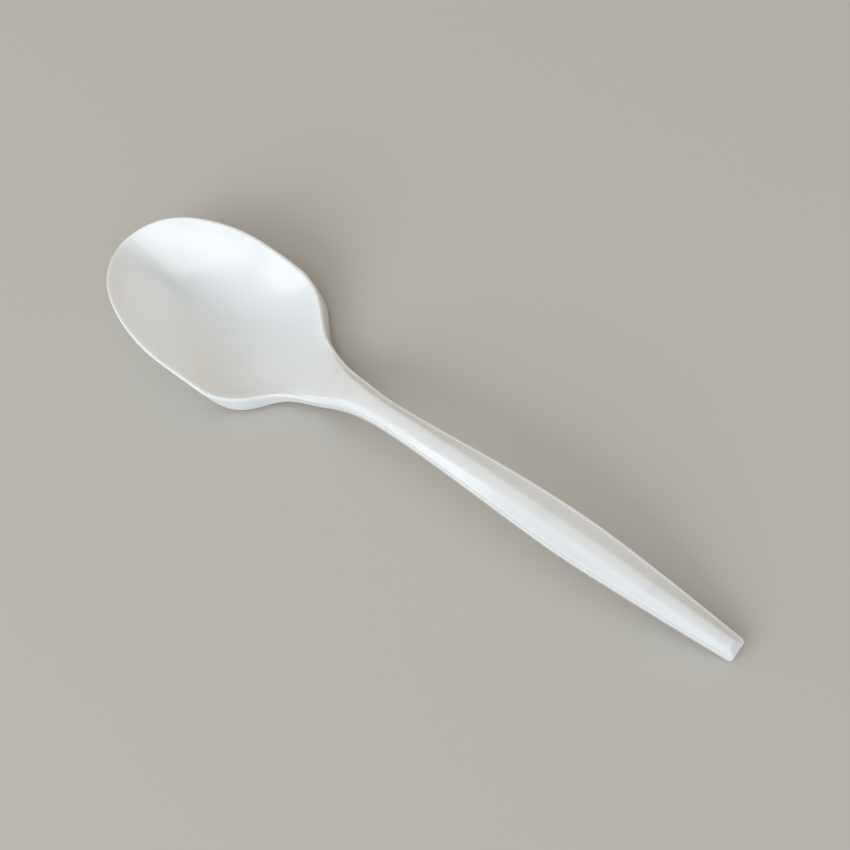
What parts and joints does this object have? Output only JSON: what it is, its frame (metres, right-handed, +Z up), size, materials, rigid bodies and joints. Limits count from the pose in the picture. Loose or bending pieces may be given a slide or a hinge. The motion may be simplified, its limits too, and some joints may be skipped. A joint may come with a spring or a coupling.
{
  "type": "soup spoon",
  "caption": "Moulded plastic soup spoon with a deep egg-shaped bowl, skirted shoulders, a slim waist and a crowned, flanged handle with an open channel underneath.",
  "frame": {"origin": "middle of the spoon's length and width, on the table that the spoon lies on", "axes": "+X from the bowl's tip to the handle's end, +Y across the bowl, +Z up out of the bowl's hollow"},
  "size_m": [0.15, 0.0326, 0.0111],
  "materials": {
    "white_plastic": "glossy, slightly translucent injection-moulded white plastic"
  },
  "bodies": {
    "root": {"bowl": "white_plastic", "neck": "white_plastic", "handle": "white_plastic", "handle_end": "white_plastic"}
  },
  "joints": []
}
